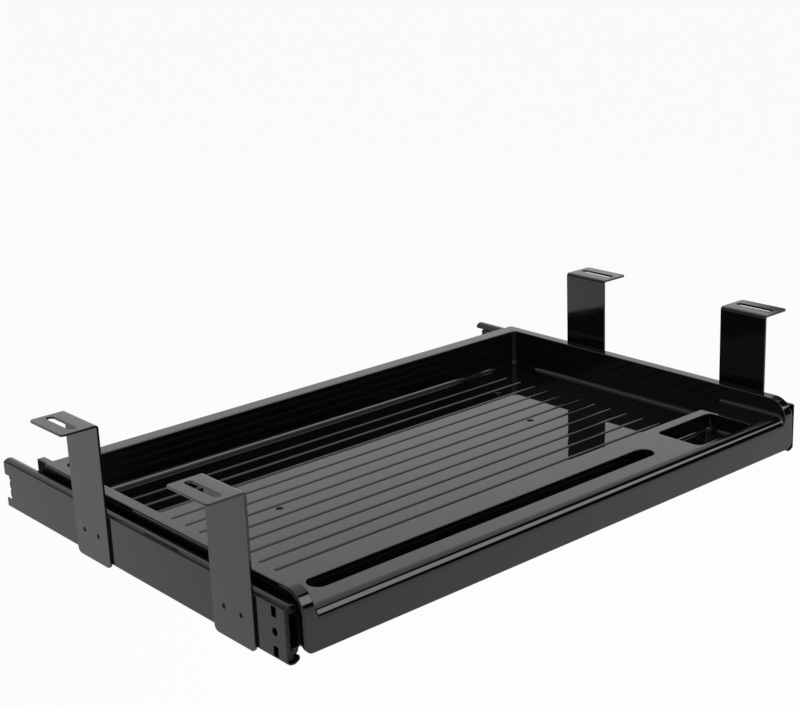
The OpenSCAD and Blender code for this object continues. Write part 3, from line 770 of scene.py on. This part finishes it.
def tray_floor_cuts(piece):
    """Cuts the grooves across the floor and the four round holes in it."""
    slope = [(part * GROOVE_SLOPE_W, -GROOVE_DEPTH * part ** GROOVE_POWER)
             for part in (0.2, 0.35, 0.5, 0.62, 0.72, 0.82, 0.91, 1)]
    flat_end = GROOVE_SLOPE_W + GROOVE_FLAT_W
    beyond = OVER * (GROOVE_W - flat_end) / GROOVE_DEPTH
    outline = [(-0.3, OVER), (-0.3, 0.01), *slope, (flat_end, -GROOVE_DEPTH),
               (GROOVE_W + beyond, OVER)]
    grooves = []
    for i in range(GROOVE_COUNT):
        back_x = SHELF_BACK_X - GROOVE_START - i * GROOVE_PITCH - GROOVE_W / 2
        grooves.append(bar_along_y("groove", [(back_x + x, FLOOR_Z + z) for x, z in outline],
                                   -GROOVE_L / 2, GROOVE_L / 2))
    for y in (0, *(side * hole_y for x, hole_y in FLOOR_HOLES for side in (-1, 1))):
        split_faces(piece, (0, y, 0), (0, 1, 0))
    cut(piece, join("grooves", *grooves))
    round_sharp_edges(piece, lambda a, b: near(a.z, FLOOR_Z) and near(b.z, FLOOR_Z)
                      and near(a.x, b.x), GROOVE_EDGE_R, 2)
    holes = [rod("hole", (x, side * y, FLOOR_Z - FLOOR_T / 2), FLOOR_HOLE_R, 3 * FLOOR_T, "z", sides=32)
             for x, y in FLOOR_HOLES for side in (-1, 1)]
    cut(piece, join("holes", *holes))
    middles = [Vector((x, side * y, FLOOR_Z)) for x, y in FLOOR_HOLES for side in (-1, 1)]

    def on_rim(point):
        return any((point - middle).length < FLOOR_HOLE_R + 0.1 for middle in middles)

    round_sharp_edges(piece, lambda a, b: on_rim(a) and on_rim(b), HOLE_RIM_R, 2)


def tray_underside(piece):
    """Hollows the tray from below and leaves its walls, the recesses' walls and the screw posts."""
    low = BOTTOM_Z - OVER
    side_y = SKIRT_Y - SKIRT_T
    wall_y = WELL_Y + WALL_T
    wall_x = SHELF_BACK_X + WALL_T
    under_floor = block("under_floor", (BACK_X + SKIRT_T, -side_y, low),
                        (wall_x, side_y, FLOOR_Z - FLOOR_T))
    under_shelf = block("under_shelf", (wall_x, -side_y, FLOOR_Z - FLOOR_T - OVER),
                        (FRONT_X - SKIRT_T, side_y, SHELF_Z - WALL_T))
    round_bar_corner(under_shelf, (FRONT_X - SKIRT_T, None, SHELF_Z - WALL_T),
                     SHELF_EDGE_R - WALL_T, 12)
    half_w = TROUGH_W / 2 + WALL_T
    tub = block("tub", (RECESS_X - half_w, TROUGH_LEFT_Y - WALL_T, RECESS_Z - WALL_T),
                (RECESS_X + half_w, TROUGH_LEFT_Y + TROUGH_L + WALL_T, SHELF_Z))
    round_ends(tub, half_w, 14)
    cup_tub = block("cup_tub", (RECESS_X - CUP_L / 2 - WALL_T, CUP_RIGHT_Y - CUP_W - WALL_T,
                                RECESS_Z - WALL_T),
                    (RECESS_X + CUP_L / 2 + WALL_T, CUP_RIGHT_Y + WALL_T, SHELF_Z))
    round_edges(cup_tub, lambda a, b: near(a.x, b.x) and near(a.y, b.y), CUP_CORNER_R + WALL_T, 10)
    cut(under_shelf, tub, cup_tub)
    lower_front = block("lower_front", (wall_x - OVER, -side_y, low),
                        (FRONT_X - SKIRT_T, side_y, FLOOR_Z - FLOOR_T))
    cut(piece, under_floor, lower_front, under_shelf)
    for side in (-1, 1):
        near_y, far_y = sorted((side * wall_y, side * side_y))
        gap = block("gap", (BACK_X + SKIRT_T, near_y, low),
                    (FRONT_X - SKIRT_T, far_y, RIM_Z - SKIRT_T))
        round_bar_corner(gap, (FRONT_X - SKIRT_T, None, RIM_Z - SKIRT_T), NOSE_R - SKIRT_T, 16)
        for inset in TRAY_SCREW_INSETS:
            cut(gap, rod("post", (SLIDE_FRONT_X - inset, side * (WELL_Y + 5), SLIDE_Z),
                         POST_R, 20, "y"))
        cut(piece, gap)
        for inset in TRAY_SCREW_INSETS:
            cut(piece, rod("screw_hole", (SLIDE_FRONT_X - inset, side * SKIRT_Y, SLIDE_Z),
                           SCREW_HOLE_R, 2 * SCREW_HOLE_L, "y", sides=24))
    cut(piece, block("behind_well", (BACK_X + SKIRT_T, -side_y, low),
                     (WELL_BACK_X - WALL_T, side_y, RIM_Z - SKIRT_T)))


def make_tray():
    piece = tray_outside()
    lug = block("lug", (BACK_X - LUG_L, -SKIRT_Y, RIM_Z - LUG_H), (BACK_X + 5, LUG_W - SKIRT_Y, RIM_Z))
    round_edges(lug, lambda a, b: near(a.z, RIM_Z) and near(b.z, RIM_Z), LUG_EDGE_R, 4)
    combine(piece, lug, "UNION")
    tray_hollows(piece)
    tray_floor_cuts(piece)
    tray_underside(piece)
    shade(piece)
    return piece


def make_floor():
    bpy.ops.mesh.primitive_plane_add(size=FLOOR_SIZE, location=(0, 0, STUDIO_FLOOR_Z))
    floor = bpy.context.object
    floor.name = "studio_floor"
    set_in_place(floor)
    material = bpy.data.materials.new("studio floor")
    material.use_nodes = True
    tree = material.node_tree
    nodes = tree.nodes
    links = tree.links
    shader = nodes["Principled BSDF"]
    shader.inputs["Base Color"].default_value = (FLOOR_WHITE, FLOOR_WHITE, FLOOR_WHITE, 1)
    shader.inputs["Roughness"].default_value = 0.9
    shader.inputs["Specular IOR Level"].default_value = 0.0
    glow = nodes.new("ShaderNodeEmission")
    path = nodes.new("ShaderNodeLightPath")
    share = calculate(
        tree, "MAXIMUM",
        calculate(tree, "MULTIPLY", path.outputs["Is Camera Ray"], SEEN_FLOOR_SHARE),
        calculate(tree, "MULTIPLY", path.outputs["Is Glossy Ray"], MIRRORED_FLOOR_SHARE))
    blend = nodes.new("ShaderNodeMixShader")
    links.new(share, blend.inputs["Fac"])
    links.new(shader.outputs["BSDF"], blend.inputs[1])
    links.new(glow.outputs["Emission"], blend.inputs[2])
    links.new(blend.outputs["Shader"], nodes["Material Output"].inputs["Surface"])
    floor.data.materials.append(material)


def make_world():
    """White all round. The gloss mirrors dimmer sides, and a softbox above the front in a dark oval."""
    world = bpy.data.worlds.new("studio")
    bpy.context.scene.world = world
    world.use_nodes = True
    tree = world.node_tree
    nodes = tree.nodes
    links = tree.links
    white = nodes["Background"]
    white.inputs["Color"].default_value = (1, 1, 1, 1)
    direction = nodes.new("ShaderNodeTexCoord")
    split = nodes.new("ShaderNodeSeparateXYZ")
    links.new(direction.outputs["Generated"], split.inputs["Vector"])
    x, y, z = (split.outputs[axis] for axis in "XYZ")
    height = calculate(tree, "ARCTAN2", z, calculate(tree, "MULTIPLY", x, -1))
    degrees = calculate(tree, "MULTIPLY", height, 180 / math.pi)
    around_lamp = oval(tree, degrees, y, *DARK_ABOVE)
    far_right = oval(tree, degrees, y, *DARK_FAR_RIGHT)
    dark_side = calculate(tree, "MULTIPLY", fade(tree, far_right, 0.8, 1.1, FAR_RIGHT_LEVEL, 1),
                          fade(tree, y, -0.4, -0.1, LEFT_LEVEL, 1))
    room = calculate(tree, "MULTIPLY", fade(tree, around_lamp, 0.8, 1.1, 0, 1), dark_side)
    in_lamp = oval(tree, degrees, y, *SOFTBOX_PATCH)
    lamp = fade(tree, in_lamp, 0.75, 1.1, SOFTBOX_LEVEL, 0)
    beside_camera = oval(tree, y, z, *STRIP_PATCH)
    strip = calculate(tree, "MULTIPLY", fade(tree, beside_camera, 0.6, 1, STRIP_LEVEL, 0),
                      fade(tree, x, 0, 0.1, 0, 1))
    total = calculate(tree, "ADD", calculate(tree, "ADD", room, lamp), strip)
    mirrored = nodes.new("ShaderNodeBackground")
    mirrored.inputs["Color"].default_value = (1, 1, 1, 1)
    links.new(total, mirrored.inputs["Strength"])
    fill = nodes.new("ShaderNodeBackground")
    fill.inputs["Color"].default_value = (1, 1, 1, 1)
    fill.inputs["Strength"].default_value = FILL_LEVEL
    path = nodes.new("ShaderNodeLightPath")
    lit = nodes.new("ShaderNodeMixShader")
    links.new(path.outputs["Is Diffuse Ray"], lit.inputs["Fac"])
    links.new(white.outputs["Background"], lit.inputs[1])
    links.new(fill.outputs["Background"], lit.inputs[2])
    blend = nodes.new("ShaderNodeMixShader")
    links.new(path.outputs["Is Glossy Ray"], blend.inputs["Fac"])
    links.new(lit.outputs["Shader"], blend.inputs[1])
    links.new(mirrored.outputs["Background"], blend.inputs[2])
    links.new(blend.outputs["Shader"], nodes["World Output"].inputs["Surface"])


def make_softbox():
    """One large soft lamp high on the right, for the soft shadow. The gloss mirrors the world's softbox."""
    lamp = bpy.data.lights.new("softbox", "AREA")
    lamp.shape = "RECTANGLE"
    lamp.size = LAMP_W
    lamp.size_y = LAMP_L
    lamp.energy = SOFTBOX_LEVEL * math.pi * lamp.size * lamp.size_y
    holder = bpy.data.objects.new("softbox", lamp)
    bpy.context.collection.objects.link(holder)
    toward = Vector((0.164, 0.617, 0.770)).normalized()
    along = Vector((0.978, 0, -0.208))
    across = toward.cross(along)
    turn = Matrix((along, across, toward)).transposed()
    holder.matrix_world = Matrix.Translation(toward * LAMP_DISTANCE) @ turn.to_4x4()
    holder.visible_glossy = False


def make_camera():
    camera = bpy.data.objects.new("camera", bpy.data.cameras.new("camera"))
    bpy.context.collection.objects.link(camera)
    camera.location = (0.92684, -0.82660, 0.38743)
    camera.rotation_euler = (1.27223, 0.03923, 0.85669)
    camera.data.sensor_width = 36
    camera.data.lens = 69.70
    camera.data.clip_start = 0.02
    bpy.context.scene.camera = camera


def dress(material, *names):
    """Gives CAD nodes that keep their shape their finish."""
    for name in names:
        for holder in frame["nodes"][name].material_slots:
            holder.material = material


def both(*names):
    return [f"{name}_{side}" for name in names for side in ("left", "right")]


make_camera()
make_world()
make_softbox()
make_floor()

gloss = tray_gloss()
coat = bracket_coat()
rail = rail_coat()
zinc = zinc_plate()
rubber = buffer_rubber()

dress(rail, *both("middle_rail", "inner_rail"))
dress(zinc, *both("tray_screws", "lever_pin"))
# The bracket screws get a near-black finish as painted shade for the shade inside the bracket's holes
dress(screw_hole_painted_shade(), *both("bracket_screws"))
dress(cage_sheet(), *both("outer_cage", "inner_cage"))
dress(ball_polish(), *both("outer_balls", "inner_balls"))
dress(rubber, *both("rear_bumper"))
dress(lever_nylon(), *both("release_lever"))

tray = make_tray()
place(tray, "drawer", "tray_plastic", gloss, "tray")

bracket = make_bracket()
for side in ("left", "right"):
    for end, spot in (("front", 1), ("rear", -1)):
        twin = copy_of(bracket, f"bracket_sheet_{end}_{side}", spot * BRACKET_X, side == "left")
        place(twin, "hanger", "bracket_steel", coat, f"bracket_{end}_{side}")
bpy.data.objects.remove(bracket)

rail_right = make_outer_rail()
rail_right.name = "outer_channel_right"
rail_left = copy_of(rail_right, "outer_channel_left", mirror_y=True)
place(rail_right, "hanger", "rail_steel", rail, "outer_rail_right")
place(rail_left, "hanger", "rail_steel", rail, "outer_rail_left")

buffer_right = make_front_buffer()
buffer_left = copy_of(buffer_right, "buffer_left", mirror_y=True)
place(buffer_right, "carrier_right", "buffer_plastic", rubber, "front_buffer_right")
place(buffer_left, "carrier_left", "buffer_plastic", rubber, "front_buffer_left")

scene = bpy.context.scene
scene.view_settings.view_transform = "Standard"
